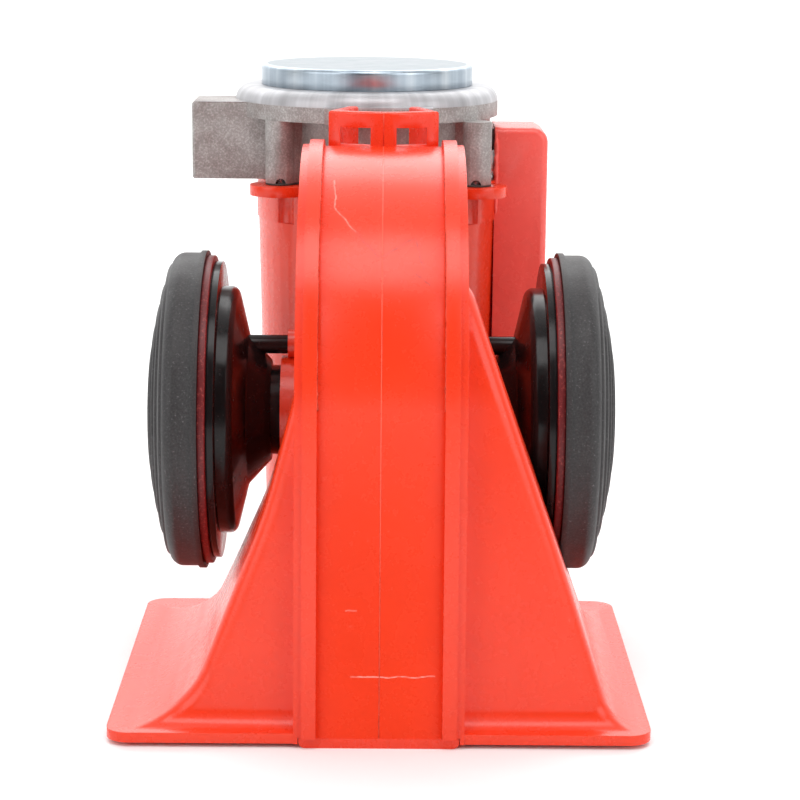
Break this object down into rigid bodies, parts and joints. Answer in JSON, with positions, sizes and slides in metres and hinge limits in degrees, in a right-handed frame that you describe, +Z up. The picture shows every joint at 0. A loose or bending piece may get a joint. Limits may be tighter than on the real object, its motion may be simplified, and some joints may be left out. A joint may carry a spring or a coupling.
{
  "type": "car horn",
  "caption": "Compact electric air horn with two snail trumpets, round side drivers and an upright motor pump behind them.",
  "frame": {"origin": "middle of the mouth, on the lower edge of the wall between the two bells, in the plane that the horn stands on", "axes": "+Z up from the mouth to the crown, +Y from the front edge of the mouth back to the motor, +X to the right seen from the front"},
  "size_m": [0.0946, 0.1267, 0.1107],
  "materials": {
    "red_plastic": "glossy injection-moulded plastic",
    "black_plastic": "glossy moulded plastic",
    "grey_plastic": "fine satin texture",
    "ring_red": "dull lacquer",
    "steel": "plain ground",
    "plated_steel": "zinc plated",
    "casting": "shot-blasted casting with a machined rim",
    "rotor_metal": "machined",
    "gasket": "thin dark sheet",
    "carbon": "dull carbon",
    "ferrite": "dull ferrite",
    "bronze": "sintered",
    "copper": "enamelled wire",
    "blade_brass": "tinned",
    "board": "plain board"
  },
  "bodies": {
    "horn": {"centre_body": "red_plastic", "right_shell": "red_plastic", "left_shell": "red_plastic", "duct_cover": "red_plastic", "right_housing": "black_plastic", "left_housing": "black_plastic", "right_diaphragm": "steel", "left_diaphragm": "steel", "right_clamp_ring": "ring_red", "left_clamp_ring": "ring_red", "right_cap": "grey_plastic", "left_cap": "grey_plastic", "pump_casting": "casting", "end_plate": "plated_steel", "pump_gasket": "gasket", "flange_screws": "plated_steel", "inlet_filter": "grey_plastic", "motor_can": "plated_steel", "motor_end_plate": "plated_steel", "lower_bearing": "bronze", "upper_bearing": "bronze", "right_magnet": "ferrite", "left_magnet": "ferrite", "brush_plate": "board", "right_brush": "carbon", "left_brush": "carbon", "right_blade": "blade_brass", "left_blade": "blade_brass"},
    "rotor": {"motor_shaft": "steel", "armature_core": "steel", "armature_winding": "copper", "commutator": "copper", "pump_rotor": "rotor_metal", "vane_right": "carbon", "vane_back": "carbon", "vane_left": "carbon", "vane_front": "carbon"}
  },
  "joints": [
    {"name": "rotor_spin", "type": "hinge", "parent": "horn", "child": "rotor", "pos_m": [-0.001, 0.0575, 0.06], "axis": [0, 0, 1], "continuous": true}
  ]
}
